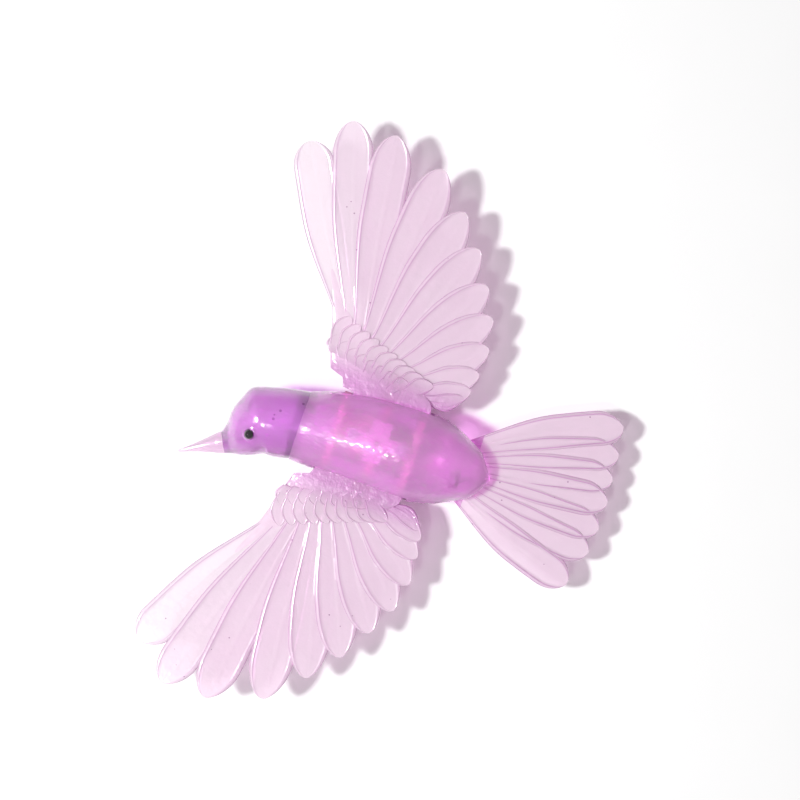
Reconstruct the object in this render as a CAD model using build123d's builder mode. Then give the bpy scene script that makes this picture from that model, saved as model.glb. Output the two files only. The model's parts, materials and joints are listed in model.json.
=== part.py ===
from build123d import *
from math import cos, radians, sin
import os

# Songbird decoy with flapping wings, in millimetres. +X is the bird's left, +Y runs to the tail and
# +Z is up. The origin is the centre of the stake socket's mouth, which is also the decoy's foot.
# Pulling the crosshead down through the socket raises both wings, and the spring brings them back.

# ---- Driving dimensions ---------------------------------------------------------------------------

# Body shells: each station is (y, middle x, half width, lowest z, highest z) of an upright ellipse.
body_stations = [
    (-31, 3.4, 14.5, 4.8, 33.2),
    (-22, 2.0, 16.0, 3.0, 34.4),
    (-10, 0.6, 17.3, 1.8, 35.5),
    (4, 0.0, 18.2, 1.5, 36.0),
    (16, 0.0, 18.4, 2.0, 35.6),
    (26, 0.0, 16.8, 3.8, 33.8),
    (36, 0.0, 12.4, 7.5, 30.0),
    (43, 0.0, 8.2, 11.0, 26.8),
    (46, 0.0, 5.0, 13.5, 24.0),
]
wall = 2.2              # shells and head
neck_wall = 3.0         # walls on both sides of the neck joint
rump_wall = 3.0         # rear wall

# Wing hinges: two fore-and-aft pins at the height of the shells' parting plane.
hinge_x = 12.5
hinge_z = 19.0
hinge_pin_r = 1.0
barrel_r = 3.0          # wing root barrel and the hinge block's knuckles
barrel_front = -15.6
barrel_rear = 13.0
knuckle_length = 2.7
knuckle_web = 1.5       # knuckle's cheek, in from the pin's middle
hinge_pin_stub = 1.0    # pin beyond its clip
flap = 35               # degrees that a wing rises from level

# Linkage: the levers' inner ends move the crosshead.
crank_share = 0.3893    # level crank pin's place, from the spring towards the wing barrel
crank_pin_r = 1.0
crank_pin_stub = 0.6    # pin beyond each ear
lever_half = 1.6        # half depth of a lever
lever_end_r = 1.9
arm_thick = 3.0         # arm's width along the hinge
ear_thick = 2.0
ear_share = 0.333       # ear's outer edge, from the lever's end towards the wing barrel
ear_under_pin = 1.4     # ear's lower edge below the crank pin
post_y = 10.0           # guide posts stand this far before and behind the middle
post_r = 1.25
post_boss = 2.6         # crosshead material round a post's middle
post_stub = 0.8         # post above its clip
crosshead_thick = 2.2
spring_r = 2.6          # to the middle of the wire
spring_wire_r = 0.35
spring_turns = 6
cord_r = 0.8
eyelet_wall = 0.5
eyelet_rim = 1.1        # eyelet's rim beyond its hole
eyelet_rim_thick = 0.4

# Wings
feather_thick = 1.2
spar_thick = 2.6
root_thick = 3.2
wrist = (40, -24)       # root of the outermost feather
elbow = (23, 12)        # root of the innermost feather
# Each feather is (tip's distance out, tip's distance back, width), from the wing's front to its rear.
wing_feathers = [
    (105.5, -64, 15), (118.5, -50, 16), (118.5, -32, 17), (111.5, -10, 16), (98, 4, 14), (86, 14, 13),
    (73, 22, 13), (61.5, 28, 13), (49.5, 30.5, 12), (38.5, 30, 12), (31, 29, 11), (27, 27, 11),
]
wing_reach = 118.5      # middle of the back to the wing's tip
leading_edge = [(22, -27), (34, -30), (48, -34), (64, -43), (80, -52), (94, -60)]
spar_width = 9          # depth of the thick front edge at the root
spar_past_wrist = 6
spar_tip = 2            # depth of the thick front edge at its end
root_rear = [(37, -22), (35, -8), (30, 6)]      # rear edge of the thick root
root_step = 1.5         # shoulder's start behind the front of the leading edge
arm_reach = 28.5        # tongue's end, out under the wing
arm_half_width = 4.0
tongue_thick = 1.2
tongue_start = 2.0      # tongue's start beyond the barrel
arm_screws_x = (21.5, 25.5)
arm_screw_reach = 0.8   # screw's end above the parting plane

# Tail
tail_feathers = 7
tail_length = 60        # fan's pivot to its feather tips
tail_feather_width = 14
tail_spread = 10.5      # degrees between neighbours
tail_turn = -2.5        # degrees that the fan is swung towards the bird's right
tail_pivot_y = 36.0
tail_z = 14.4           # middle of the tail's thickness
tongue_half_width = 9.0
tail_tongue_thick = 2.0
tail_tongue_front = 27.0
tail_tongue_past = 6.0  # tongue behind the fan's pivot
tail_slot_step = 3.0    # belly's tail slot starts this far behind the tongue's front
tail_taper = 87         # degrees at a tail feather's tip end
tail_screw_at = (4.7, 33)

# Head and beak: the head is turned and rolled to the bird's left on its neck.
head_centre = (6.8, -47.8, 20.5)
head_r = 13.5
face_r = 9.2            # face a third of the way to the beak
head_turn = 28
head_roll = 58
neck_x = 3.4
neck_r = 14.2
neck_past = 2.0         # neck ends this far behind the head's middle
neck_under = 0.4        # neck's front below the head's surface
spigot_r = 10.2
spigot_wall = 2.0
flange_r = 11.4         # keeps the neck behind the shells' front wall
flange_thick = 1.3
beak_length = 18.5
beak_r = 4.25
beak_middle_r = 2.64
beak_tip_r = 0.8
beak_drop = 8.0         # beak's middle below the head's middle, in the head's own frame
beak_out = 15.3         # beak's base ahead of the head's middle
beak_spigot_r = 2.4
beak_spigot = 4.0
eye_r = 2.0
eye_sink = 0.7          # eye's middle below the head's surface

# Stake socket and foot
socket_bore_r = 4.0
socket_depth = 9.6
socket_roof = 1.4
foot_r = 8.4
socket_flange_r = 9.3
socket_flange_z = 7.0
socket_flange_thick = 1.6
socket_wall = 1.2       # round the bore, above the flange
socket_pad = 0.5        # belly's pad beyond the socket's flange

# Hinge block
block_half_width = 8.3
block_thick = 2.4
block_corner_r = 3.0
block_screws_at = [(-6.5, -12), (6.5, -12), (-6.5, 10.2), (6.5, 10.2)]

# Screws and clips
screw_r = 0.9
screw_head_r = 1.6
screw_head = 1.0
shell_screw_r = 1.0
shell_screw_head_r = 2.0
shell_screws_at = [(-6.0, -22.3), (8.0, -22.3)]
shell_screw_grip = 8.0  # thread above the parting plane
shell_head_z = 8.0      # under the heads of the shell screws
tail_head_z = 10.0      # under the head of the tail screw
block_screw_grip = 4.0  # thread below the hinge block
screw_end_gap = 0.5     # screw's end to the end of its hole
boss_wall = 1.5
clip_r = 1.9
clip_thick = 0.6
post_clip_r = 2.2

# Clearances
run = 0.05              # radial, shaft in a running hole
slide_gap = 0.08        # crank pin in the height of its slot
side_gap = 0.3          # between pieces that turn or slide past each other
shell_gap = 0.35        # wing barrel to the shell's groove
swing_gap = 0.5         # wing to the shell above it
groove_front = 2.6      # shell's groove beyond the front knuckle
groove_rear = 2.4       # shell's groove beyond the rear knuckle
groove_width = 16.0
groove_out = 4.5        # groove's middle outside the hinge
seat = 0.1              # loose fit round a fixed piece

# ---- Sizes that follow ----------------------------------------------------------------------------

barrel_in = hinge_x - barrel_r
spring_out = spring_r + spring_wire_r
crank_x = spring_out + crank_share * (barrel_in - spring_out)
lever = hinge_x - crank_x
socket_neck_r = socket_bore_r + socket_wall
crank_rise = lever * sin(radians(flap / 2))
crank_z = hinge_z + crank_rise
crank_rest_x = hinge_x - lever * cos(radians(flap / 2))
slot_middle_x = (crank_rest_x + crank_x) / 2
slot_reach = (crank_rest_x - crank_x) / 2 + side_gap
crosshead_travel = 2 * crank_rise
lever_end_x = crank_rest_x + lever_end_r
ear_out = lever_end_x + ear_share * (barrel_in - lever_end_x)
ear_in = crank_x - lever_end_r + side_gap
lever_top = hinge_z - (hinge_x - ear_out) * sin(radians(flap / 2)) + lever_half / cos(radians(flap / 2))
crosshead_under = lever_top + side_gap + crosshead_travel
crosshead_top = crosshead_under + crosshead_thick
ear_bottom = crank_z - crank_pin_r - ear_under_pin
ear_inner_y = arm_thick / 2 + side_gap
ear_outer_y = ear_inner_y + ear_thick
block_z = socket_flange_z + socket_flange_thick
block_top = block_z + block_thick
knuckle_front = barrel_front - side_gap - knuckle_length
knuckle_rear = barrel_rear + side_gap + knuckle_length
notch_front = knuckle_front - groove_front
notch_rear = knuckle_rear + groove_rear
neck_y = body_stations[0][0]
rump_y = body_stations[-1][0]
post_top = crosshead_top + seat + clip_thick + post_stub
pin_overhang = clip_thick + hinge_pin_stub

parting = Plane.XY.offset(hinge_z)
head_forward = Vector(sin(radians(head_turn)), -cos(radians(head_turn)), 0)
head_side = Vector(
    cos(radians(head_turn)) * cos(radians(head_roll)),
    sin(radians(head_turn)) * cos(radians(head_roll)),
    sin(radians(head_roll)),
)
# In the head's own plane, x is out of its left side, z is forward and -y is up through its crown.
head_plane = Plane(origin=head_centre, x_dir=head_side, z_dir=head_forward)

os.makedirs("parts", exist_ok=True)


def save(builder, name):
    """Label a finished piece and write it as its own STEP file."""
    builder.part.label = name
    export_step(builder.part, f"parts/{name}.step")


def upright(y):
    """Plane across the body at y, with its own x along X and its own y along Z."""
    return Plane.XZ.offset(-y)


def body_loft(inset, front_wall, back_wall):
    """Body surface moved in by inset, with its two ends moved in by their own walls."""
    with BuildPart() as surface:
        for y, middle_x, half_width, low, high in body_stations:
            end_shift = {neck_y: front_wall, rump_y: -back_wall}.get(y, 0)
            with BuildSketch(upright(y + end_shift)):
                with Locations((middle_x, (low + high) / 2)):
                    Ellipse(half_width - inset, (high - low) / 2 - inset)
        loft()
    return surface.part


def columns(places, radius, low, high):
    """Round columns between two heights, trimmed to the body's outside."""
    with BuildPart() as posts:
        with BuildSketch(Plane.XY.offset(low)):
            with Locations(*places):
                Circle(radius)
        extrude(amount=high - low)
        add(body_outer, mode=Mode.INTERSECT)
    return posts.part


def drill(places, radius, low, high):
    """Cut round holes between two heights in the piece being built."""
    with BuildSketch(Plane.XY.offset(low)) as holes:
        with Locations(*places):
            Circle(radius)
    extrude(holes.sketch, amount=high - low, mode=Mode.SUBTRACT)


def rod(x, z, radius, front, rear, mode=Mode.ADD):
    """Round bar or hole along Y in the piece being built."""
    with BuildSketch(upright(front)) as end:
        with Locations((x, z)):
            Circle(radius)
    extrude(end.sketch, amount=front - rear, mode=mode)


def pan_screws(places, under_head, length, radius, head_radius, head_up):
    """Plain pan-head screws whose heads sit on the height under_head."""
    way = 1 if head_up else -1
    with BuildPart() as screws:
        with BuildSketch(Plane.XY.offset(under_head)):
            with Locations(*places):
                Circle(head_radius)
        extrude(amount=way * screw_head)
        with BuildSketch(Plane.XY.offset(under_head)):
            with Locations(*places):
                Circle(radius)
        extrude(amount=-way * length)
    return screws


body_outer = body_loft(0, 0, 0)
body_inner = body_loft(wall, neck_wall, rump_wall)

# ---- Body shells ----------------------------------------------------------------------------------

shell_boss_r = shell_screw_r + boss_wall
block_boss_r = screw_r + boss_wall
tail_low = tail_z - tail_tongue_thick / 2
tail_high = tail_z + tail_tongue_thick / 2
boss_top = hinge_z + shell_screw_grip + boss_wall


def cut_shell_openings():
    """Neck bore and the grooves that the hinge knuckles and wing barrels lie in."""
    rod(neck_x, hinge_z, spigot_r + seat, neck_y - 1, neck_y + neck_wall + 1, mode=Mode.SUBTRACT)
    with BuildSketch(upright(notch_front)) as grooves:
        with Locations((-hinge_x - groove_out, hinge_z), (hinge_x + groove_out, hinge_z)):
            Rectangle(groove_width, 2 * (barrel_r + shell_gap))
    extrude(grooves.sketch, amount=notch_front - notch_rear, mode=Mode.SUBTRACT)


with BuildPart() as belly_shell:
    add(body_outer)
    add(body_inner, mode=Mode.SUBTRACT)
    split(bisect_by=parting, keep=Keep.BOTTOM)
    add(columns([(0, 0)], socket_flange_r + socket_pad, 0, socket_flange_z))
    add(columns(block_screws_at, block_boss_r, 0, block_z))
    add(columns(shell_screws_at, shell_boss_r, 0, hinge_z))
    add(columns([tail_screw_at], shell_boss_r, 0, tail_low))
    cut_shell_openings()
    drill([(0, 0)], foot_r + seat, 0, socket_flange_z)
    drill([(0, 0)], socket_flange_r + seat, socket_flange_z, block_z)
    drill(block_screws_at, screw_r, block_z - block_screw_grip, block_z)
    drill(shell_screws_at, shell_screw_r + seat, 0, hinge_z)
    drill(shell_screws_at, shell_screw_head_r + seat, 0, shell_head_z)
    drill([tail_screw_at], shell_screw_r + seat, 0, tail_low)
    drill([tail_screw_at], shell_screw_head_r + seat, 0, tail_head_z)
    # The tail leaves through a slot in the rear of the belly.
    with BuildSketch(Plane.XY.offset(tail_low - seat)):
        with Locations((0, rump_y)):
            Rectangle(2 * body_stations[4][2], 2 * (rump_y - tail_tongue_front - tail_slot_step))
    extrude(amount=tail_tongue_thick + 2 * seat, mode=Mode.SUBTRACT)
save(belly_shell, "belly_shell")

with BuildPart() as back_shell:
    add(body_outer)
    add(body_inner, mode=Mode.SUBTRACT)
    split(bisect_by=parting, keep=Keep.TOP)
    add(columns(shell_screws_at, shell_boss_r, hinge_z, boss_top))
    add(columns([tail_screw_at], shell_boss_r, hinge_z, boss_top))
    cut_shell_openings()
    drill(shell_screws_at + [tail_screw_at], shell_screw_r, hinge_z, hinge_z + shell_screw_grip)
    # Above each wing the shell is cut back as far as the wing's root rises.
    with BuildSketch(upright(notch_front)):
        up = radians(flap)
        lift = root_thick / 2 + swing_gap
        corner = (hinge_x - lift * sin(up), hinge_z + lift * cos(up))
        tip = (corner[0] + groove_width * cos(up), corner[1] + groove_width * sin(up))
        with BuildLine():
            Polyline((hinge_x, hinge_z), (hinge_x + groove_width, hinge_z), tip, corner, close=True)
        make_face()
        mirror(about=Plane.YZ)
    extrude(amount=notch_front - notch_rear, mode=Mode.SUBTRACT)
save(back_shell, "back_shell")

save(
    pan_screws(shell_screws_at, shell_head_z, hinge_z + shell_screw_grip - shell_head_z - screw_end_gap,
               shell_screw_r, shell_screw_head_r, False),
    "shell_screws",
)

# ---- Head, beak and eyes --------------------------------------------------------------------------

beak_base = head_plane.offset(beak_out)
spigot_in = neck_y + neck_wall + seat + flange_thick
eye_direction = Vector(0.949, -0.123, 0.292)


def eye_place(side):
    """Middle of an eye, in the head's own plane."""
    out = eye_direction * (head_r - eye_sink)
    return (side * out.X, out.Y, out.Z)


def neck_loft(inset, end_wall):
    """Neck between the spigot and the middle of the head, moved in by inset and by its rear wall."""
    with BuildSketch(upright(neck_y - seat - end_wall)) as rear:
        with Locations((neck_x, hinge_z)):
            Circle(neck_r - inset)
    with BuildSketch(upright(head_centre[1] + neck_past)) as front:
        with Locations((head_centre[0], head_centre[2])):
            Circle(head_r - neck_under - inset)
    loft([rear.sketch, front.sketch], mode=Mode.SUBTRACT if inset else Mode.ADD)


with BuildPart() as head:
    with Locations(head_centre):
        Sphere(head_r)
    neck_loft(0, 0)
    # Face, tapering from the head to the beak.
    with BuildSketch(head_plane.offset(beak_out / 3)):
        with Locations((0, beak_drop / 2)):
            Circle(face_r)
    with BuildSketch(beak_base):
        with Locations((0, beak_drop)):
            Circle(beak_r)
    loft()
    with Locations(head_centre):
        Sphere(head_r - wall, mode=Mode.SUBTRACT)
    neck_loft(wall, neck_wall)
    # Spigot with a flange that the two shells close round.
    rod(neck_x, hinge_z, spigot_r, neck_y - seat - neck_wall, spigot_in)
    rod(neck_x, hinge_z, flange_r, spigot_in - flange_thick, spigot_in)
    rod(neck_x, hinge_z, spigot_r - spigot_wall, neck_y - 2 * neck_wall, spigot_in, mode=Mode.SUBTRACT)
    with BuildSketch(beak_base):
        with Locations((0, beak_drop)):
            Circle(beak_spigot_r)
    extrude(amount=-beak_spigot, mode=Mode.SUBTRACT)
    with BuildPart(head_plane, mode=Mode.SUBTRACT):
        with Locations(eye_place(1), eye_place(-1)):
            Sphere(eye_r)
save(head, "head")

with BuildPart() as beak:
    with BuildSketch(beak_base):
        with Locations((0, beak_drop)):
            Circle(beak_r)
    with BuildSketch(beak_base.offset(beak_length / 2)):
        with Locations((0, beak_drop)):
            Circle(beak_middle_r)
    with BuildSketch(beak_base.offset(beak_length)):
        with Locations((0, beak_drop)):
            Circle(beak_tip_r)
    loft()
    with BuildSketch(beak_base):
        with Locations((0, beak_drop)):
            Circle(beak_spigot_r)
    extrude(amount=-beak_spigot)
save(beak, "beak")

for eye_name, side in (("left_eye", 1), ("right_eye", -1)):
    with BuildPart(head_plane) as eye:
        with Locations(eye_place(side)):
            Sphere(eye_r)
    save(eye, eye_name)

# ---- Tail -----------------------------------------------------------------------------------------

with BuildPart() as tail_fan:
    with BuildSketch(Plane.XY.offset(tail_z)):
        for feather in range(tail_feathers):
            swing = tail_turn + tail_spread * (feather - (tail_feathers - 1) / 2)
            tip_r = tail_feather_width / 2
            with Locations(Location((0, tail_pivot_y, 0), (0, 0, -swing))):
                with Locations((0, tail_length - tip_r)):
                    Circle(tip_r)
                with Locations((0, (tail_length - tip_r) / 2)):
                    Trapezoid(tail_feather_width, tail_length - tip_r, tail_taper, rotation=180)
    extrude(amount=feather_thick / 2, both=True)
    with BuildSketch(Plane.XY.offset(tail_low)):
        tongue_rear = tail_pivot_y + tail_tongue_past
        with Locations((0, (tail_tongue_front + tongue_rear) / 2)):
            Rectangle(2 * tongue_half_width, tongue_rear - tail_tongue_front)
    extrude(amount=tail_tongue_thick)
    drill([tail_screw_at], shell_screw_r + seat, tail_low, tail_high)
save(tail_fan, "tail_fan")

save(
    pan_screws([tail_screw_at], tail_head_z, hinge_z + shell_screw_grip - tail_head_z - screw_end_gap,
               shell_screw_r, shell_screw_head_r, False),
    "tail_screw",
)

# ---- Wings ----------------------------------------------------------------------------------------


def feather_outline(base, tip, width):
    """Feather from its root to a round tip, half as wide at the root as near the tip."""
    along = (Vector(*tip) - Vector(*base)).normalized()
    across = Vector(-along.Y, along.X)
    end = Vector(*tip) - along * (width / 2)
    root = Vector(*base)
    with BuildLine() as edge:
        Polyline(
            root - across * (width / 4), end - across * (width / 2),
            end + across * (width / 2), root + across * (width / 4), close=True,
        )
    make_face(edge.edges())
    with Locations((end.X, end.Y)):
        Circle(width / 2)


def on_wing(tip):
    """A point of the wing's plan, moved with the wing's reach."""
    stretch = (wing_reach - wrist[0]) / (wing_feathers[1][0] - wrist[0])
    return (wrist[0] + (tip[0] - wrist[0]) * stretch, tip[1]) if tip[0] > wrist[0] else tip


with BuildPart() as left_wing:
    with BuildSketch(parting):
        for feather, (out, back, width) in enumerate(wing_feathers):
            share = feather / (len(wing_feathers) - 1)
            base = (wrist[0] + (elbow[0] - wrist[0]) * share, wrist[1] + (elbow[1] - wrist[1]) * share)
            feather_outline(base, on_wing((out, back)), width)
    extrude(amount=feather_thick / 2, both=True)
    # Thick front edge, from the shoulder towards the first feather's tip.
    with BuildSketch(parting):
        with BuildLine():
            front = [on_wing(point) for point in leading_edge]
            last = front[-1]
            Polyline(*front, (last[0] - spar_tip, last[1] + spar_tip),
                     (wrist[0] + spar_past_wrist, wrist[1] + spar_width),
                     (front[0][0], front[0][1] + 2 * spar_width), close=True)
        make_face()
    extrude(amount=spar_thick / 2, both=True)
    # Root pad, stepped back from the hinge block's knuckles.
    inner = hinge_x + barrel_r + shell_gap + side_gap
    with BuildSketch(parting):
        with BuildLine():
            Polyline(
                (hinge_x, barrel_front), (inner, barrel_front), (inner, notch_front + side_gap),
                (leading_edge[0][0] - root_step, notch_front + side_gap),
                leading_edge[0], leading_edge[1], *root_rear,
                (elbow[0], notch_rear - side_gap), (inner, notch_rear - side_gap),
                (inner, barrel_rear), (hinge_x, barrel_rear), close=True,
            )
        make_face()
    extrude(amount=root_thick / 2, both=True)
    rod(hinge_x, hinge_z, barrel_r, barrel_front, barrel_rear)
    rod(hinge_x, hinge_z, hinge_pin_r + run, barrel_front, barrel_rear, mode=Mode.SUBTRACT)
    gap = arm_thick / 2 + seat
    rod(hinge_x, hinge_z, barrel_r + seat, -gap, gap, mode=Mode.SUBTRACT)
    drill([(x, 0) for x in arm_screws_x], screw_r, hinge_z - root_thick / 2,
          hinge_z + arm_screw_reach + seat)
save(left_wing, "left_wing")

with BuildPart() as left_wing_arm:
    tongue_low = hinge_z - root_thick / 2 - tongue_thick
    with BuildSketch(upright(arm_thick / 2)):
        with Locations((hinge_x, hinge_z)):
            Circle(barrel_r - seat)
        with Locations((crank_rest_x, crank_z)):
            Circle(lever_end_r)
        with Locations(Location(((hinge_x + crank_rest_x) / 2, (hinge_z + crank_z) / 2, 0),
                                (0, 0, -flap / 2))):
            Rectangle(lever, 2 * lever_half)
        with Locations(((hinge_x + arm_reach) / 2, tongue_low + tongue_thick / 2)):
            Rectangle(arm_reach - hinge_x, tongue_thick)
    extrude(amount=arm_thick)
    with BuildSketch(Plane.XY.offset(tongue_low)):
        start = hinge_x + barrel_r + tongue_start
        with Locations(((start + arm_reach) / 2, 0)):
            Rectangle(arm_reach - start, 2 * arm_half_width)
    extrude(amount=tongue_thick)
    rod(hinge_x, hinge_z, hinge_pin_r + run, -arm_thick, arm_thick, mode=Mode.SUBTRACT)
    rod(crank_rest_x, crank_z, crank_pin_r, -arm_thick, arm_thick, mode=Mode.SUBTRACT)
    drill([(x, 0) for x in arm_screws_x], screw_r, tongue_low, tongue_low + tongue_thick)
save(left_wing_arm, "left_wing_arm")

left_arm_screws = pan_screws([(x, 0) for x in arm_screws_x], tongue_low,
                             tongue_thick + root_thick / 2 + arm_screw_reach, screw_r, screw_head_r, False)
save(left_arm_screws, "left_arm_screws")

with BuildPart() as left_crank_pin:
    rod(crank_rest_x, crank_z, crank_pin_r, -ear_outer_y - crank_pin_stub, ear_outer_y + crank_pin_stub)
save(left_crank_pin, "left_crank_pin")

with BuildPart() as left_hinge_pin:
    rod(hinge_x, hinge_z, hinge_pin_r, knuckle_front - pin_overhang, knuckle_rear + pin_overhang)
save(left_hinge_pin, "left_hinge_pin")

for name, left_piece in (("wing", left_wing), ("wing_arm", left_wing_arm), ("crank_pin", left_crank_pin),
                         ("hinge_pin", left_hinge_pin), ("arm_screws", left_arm_screws)):
    with BuildPart() as right_piece:
        mirror(left_piece.part, about=Plane.YZ)
    save(right_piece, f"right_{name}")

# ---- Hinge block, guide posts and clips -----------------------------------------------------------

with BuildPart() as hinge_block:
    with BuildSketch(Plane.XY.offset(block_z)):
        with Locations((0, (knuckle_front + knuckle_rear) / 2)):
            Rectangle(2 * block_half_width, knuckle_rear - knuckle_front)
        fillet(vertices(), block_corner_r)
    extrude(amount=block_thick)
    cheek = hinge_x - knuckle_web
    for front in (knuckle_front, knuckle_rear - knuckle_length):
        with BuildSketch(upright(front)):
            with BuildLine():
                Polyline(
                    (-block_half_width, block_top), (block_half_width, block_top),
                    (cheek, hinge_z), (cheek, hinge_z + barrel_r),
                    (-cheek, hinge_z + barrel_r), (-cheek, hinge_z), close=True,
                )
            make_face()
            with Locations((-hinge_x, hinge_z), (hinge_x, hinge_z)):
                Circle(barrel_r)
            with Locations((-hinge_x, hinge_z), (hinge_x, hinge_z)):
                Circle(hinge_pin_r, mode=Mode.SUBTRACT)
        extrude(amount=-knuckle_length)
    drill([(0, 0)], socket_neck_r + seat, block_z, block_top)
    drill([(0, -post_y), (0, post_y)], post_r, block_z, block_top)
    drill(block_screws_at, screw_r, block_z, block_top)
save(hinge_block, "hinge_block")

save(
    pan_screws(block_screws_at, block_top, block_thick + block_screw_grip - screw_end_gap,
               screw_r, screw_head_r, True),
    "block_screws",
)

with BuildPart() as guide_posts:
    with BuildSketch(Plane.XY.offset(block_z)):
        with Locations((0, -post_y), (0, post_y)):
            Circle(post_r)
    extrude(amount=post_top - block_z)
save(guide_posts, "guide_posts")

with BuildPart() as post_clips:
    with BuildSketch(Plane.XY.offset(crosshead_top + seat)):
        with Locations((0, -post_y), (0, post_y)):
            Circle(post_clip_r)
            Circle(post_r, mode=Mode.SUBTRACT)
    extrude(amount=clip_thick)
save(post_clips, "post_clips")

with BuildPart() as hinge_clips:
    for front in (knuckle_front - seat - clip_thick, knuckle_rear + seat):
        with BuildSketch(upright(front)):
            with Locations((-hinge_x, hinge_z), (hinge_x, hinge_z)):
                Circle(clip_r)
                Circle(hinge_pin_r, mode=Mode.SUBTRACT)
        extrude(amount=-clip_thick)
save(hinge_clips, "hinge_clips")

# ---- Crosshead, spring and cord eyelet ------------------------------------------------------------

with BuildPart() as crosshead:
    with BuildSketch(Plane.XY.offset(crosshead_under)):
        Rectangle(2 * ear_out, 2 * ear_outer_y)
        Rectangle(2 * post_boss, 2 * (post_y + post_boss))
    extrude(amount=crosshead_thick)
    for side in (-1, 1):
        for middle_y in (-(ear_inner_y + ear_outer_y) / 2, (ear_inner_y + ear_outer_y) / 2):
            with BuildSketch(Plane.XY.offset(ear_bottom)):
                with Locations((side * (ear_in + ear_out) / 2, middle_y)):
                    Rectangle(ear_out - ear_in, ear_thick)
            extrude(amount=crosshead_under - ear_bottom)
    with BuildSketch(upright(-ear_outer_y - 1)):
        with Locations((-slot_middle_x, crank_z), (slot_middle_x, crank_z)):
            SlotCenterToCenter(2 * slot_reach, 2 * (crank_pin_r + slide_gap))
    extrude(amount=-2 * (ear_outer_y + 1), mode=Mode.SUBTRACT)
    drill([(0, -post_y), (0, post_y)], post_r + run, crosshead_under, crosshead_top)
    drill([(0, 0)], cord_r, crosshead_under, crosshead_top)
save(crosshead, "crosshead")

spring_low = block_top
spring_height = crosshead_under - spring_low
with BuildPart() as return_spring:
    rise = spring_height - 2 * spring_wire_r
    with BuildLine():
        Helix(pitch=rise / spring_turns, height=rise, radius=spring_r,
              center=(0, 0, spring_low + spring_wire_r))
    with BuildSketch(Plane.XZ):
        with Locations((spring_r, spring_low + spring_wire_r)):
            Circle(spring_wire_r)
    sweep(is_frenet=True)
save(return_spring, "return_spring")

with BuildPart() as cord_eyelet:
    with BuildSketch(Plane.XY.offset(socket_depth)):
        Circle(cord_r + eyelet_wall)
    extrude(amount=socket_roof)
    with BuildSketch(Plane.XY.offset(socket_depth + socket_roof)):
        Circle(cord_r + eyelet_rim)
    extrude(amount=eyelet_rim_thick)
    drill([(0, 0)], cord_r, socket_depth, socket_depth + socket_roof + eyelet_rim_thick)
save(cord_eyelet, "cord_eyelet")

# ---- Stake socket ---------------------------------------------------------------------------------

with BuildPart() as stake_socket:
    for radius, low, high in ((foot_r, 0, socket_flange_z),
                              (socket_flange_r, socket_flange_z, block_z),
                              (socket_neck_r, block_z, socket_depth + socket_roof)):
        with BuildSketch(Plane.XY.offset(low)):
            Circle(radius)
        extrude(amount=high - low)
    drill([(0, 0)], socket_bore_r, 0, socket_depth)
    drill([(0, 0)], cord_r + eyelet_wall, socket_depth, socket_depth + socket_roof)
save(stake_socket, "stake_socket")
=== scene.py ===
import json
from math import cos, pi, radians, sin

import bmesh
import bpy
import numpy as np
from bpy.props import FloatProperty, FloatVectorProperty, PointerProperty
from bpy.types import Operator, Panel, PropertyGroup
from mathutils import Matrix, Vector


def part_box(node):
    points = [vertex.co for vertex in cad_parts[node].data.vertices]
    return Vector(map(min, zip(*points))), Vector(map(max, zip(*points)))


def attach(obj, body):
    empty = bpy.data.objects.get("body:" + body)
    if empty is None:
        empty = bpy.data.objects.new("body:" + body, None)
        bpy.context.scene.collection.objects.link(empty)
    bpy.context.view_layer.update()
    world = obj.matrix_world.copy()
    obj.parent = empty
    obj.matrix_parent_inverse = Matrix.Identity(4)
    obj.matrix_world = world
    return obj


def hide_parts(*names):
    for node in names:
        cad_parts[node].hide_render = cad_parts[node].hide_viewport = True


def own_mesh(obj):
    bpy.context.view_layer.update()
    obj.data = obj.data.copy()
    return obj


bl_info = {
    "name": "Flapping songbird decoy",
    "version": (1, 0, 0),
    "blender": (4, 5, 0),
    "location": "3D View > Sidebar > Decoy",
    "description": "Builds the resin shells, feathers, fittings and stage of a songbird decoy round its frame",
    "category": "Object",
}

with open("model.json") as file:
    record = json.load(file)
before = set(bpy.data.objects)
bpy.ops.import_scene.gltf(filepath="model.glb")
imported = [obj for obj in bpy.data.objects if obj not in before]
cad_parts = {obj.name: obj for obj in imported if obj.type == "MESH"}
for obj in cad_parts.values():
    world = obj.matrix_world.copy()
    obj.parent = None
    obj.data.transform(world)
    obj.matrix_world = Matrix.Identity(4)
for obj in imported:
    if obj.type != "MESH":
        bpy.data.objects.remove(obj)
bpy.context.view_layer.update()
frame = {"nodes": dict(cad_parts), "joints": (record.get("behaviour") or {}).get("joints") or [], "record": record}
JOINTS = {joint["name"]: joint for joint in frame["joints"]}

# Shapes are worked out in millimetres and put into the meshes in metres.
MM = 0.001
HINGE_X = JOINTS["left_flap"]["pos_m"][0] / MM
HINGE_Z = JOINTS["left_flap"]["pos_m"][2] / MM
FLAP = radians(JOINTS["left_flap"]["range_deg"][1])


def node_box(node):
    """Lowest and highest corner of a CAD node, in millimetres."""
    low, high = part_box(node)
    return np.array(low) / MM, np.array(high) / MM


# ---- Shape data, in millimetres ---------------------------------------------------------------------

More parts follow.
